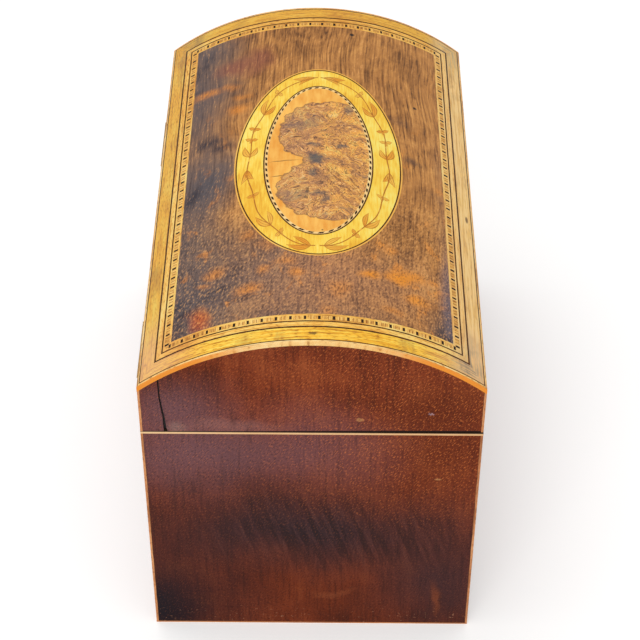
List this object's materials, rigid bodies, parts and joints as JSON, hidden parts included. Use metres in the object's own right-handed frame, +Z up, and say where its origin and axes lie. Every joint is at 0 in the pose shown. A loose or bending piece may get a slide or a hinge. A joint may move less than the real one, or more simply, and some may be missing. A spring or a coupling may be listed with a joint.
{
  "type": "antique tea caddy",
  "caption": "Veneered wooden box with a hinged domed lid, inlaid bands and an oval, a lock and inner lids over foil-lined wells.",
  "frame": {"origin": "middle of the underside", "axes": "+X along the length, -Y towards the lock side, +Z up"},
  "size_m": [0.19, 0.1148, 0.1383],
  "materials": {
    "mahogany_veneer": "old glossy shellac over straight-grained veneer",
    "mahogany_field": "old glossy shellac over mottled veneer",
    "carcass_mahogany": "planed, lightly oiled",
    "carcass_pine": "planed",
    "boxwood_orange": "shellac",
    "boxwood": "shellac",
    "ebony": "shellac",
    "satinwood": "shellac",
    "burr": "shellac",
    "turned_bone": "polished",
    "foil": "dull grey metal foil",
    "brass": "dulled with age",
    "steel": "dark, dry"
  },
  "bodies": {
    "caddy_base": {"base_screws": "steel", "bottom_board": "carcass_pine", "carcass_back": "carcass_mahogany", "carcass_front": "carcass_mahogany", "carcass_left": "carcass_mahogany", "carcass_right": "carcass_mahogany", "corner_strings": "boxwood_orange", "escutcheon": "brass", "foil_well_left": "foil", "foil_well_right": "foil", "foot_string": "boxwood_orange", "hinge_fixed_leaf_left": "brass", "hinge_fixed_leaf_right": "brass", "hinge_pins": "steel", "lining_back": "carcass_mahogany", "lining_front": "carcass_mahogany", "lining_left": "carcass_mahogany", "lining_right": "carcass_mahogany", "lock_case": "brass", "lock_plate": "brass", "lock_spring": "steel", "partition": "carcass_mahogany", "rim_string": "boxwood", "veneer_back": "mahogany_veneer", "veneer_front": "mahogany_veneer", "veneer_left": "mahogany_veneer", "veneer_right": "mahogany_veneer"},
    "caddy_lid": {"arris_strings": "boxwood_orange", "block_band_dark": "ebony", "block_band_light": "satinwood", "crossband": "satinwood", "field": "mahogany_field", "frame_band": "boxwood", "hinge_moving_leaf_left": "brass", "hinge_moving_leaf_right": "brass", "lid_back": "carcass_mahogany", "lid_corner_strings": "boxwood_orange", "lid_front": "carcass_mahogany", "lid_left": "carcass_mahogany", "lid_right": "carcass_mahogany", "lid_screws": "steel", "lid_staves": "carcass_pine", "lid_veneer_back": "mahogany_veneer", "lid_veneer_front": "mahogany_veneer", "lid_veneer_left": "mahogany_veneer", "lid_veneer_right": "mahogany_veneer", "link_plate": "brass", "links": "brass", "oval_band": "satinwood", "oval_centre": "burr"},
    "bolt": {"lock_bolt": "steel"},
    "inner_lid_left": {"inner_lid_left": "carcass_mahogany", "knob_left": "turned_bone"},
    "inner_lid_right": {"inner_lid_right": "carcass_mahogany", "knob_right": "turned_bone"}
  },
  "joints": [
    {"name": "lid_hinge", "type": "hinge", "parent": "caddy_base", "child": "caddy_lid", "pos_m": [0, 0.05715, 0.098], "axis": [-1, 0, 0], "range_deg": [0, 100]},
    {"name": "bolt_throw", "type": "slide", "parent": "caddy_base", "child": "bolt", "axis": [1, 0, 0], "range_m": [0, 0.004]},
    {"name": "inner_lid_left_lift", "type": "slide", "parent": "caddy_base", "child": "inner_lid_left", "axis": [0, 0, 1], "range_m": [0, 0.02]},
    {"name": "inner_lid_right_lift", "type": "slide", "parent": "caddy_base", "child": "inner_lid_right", "axis": [0, 0, 1], "range_m": [0, 0.02]}
  ]
}
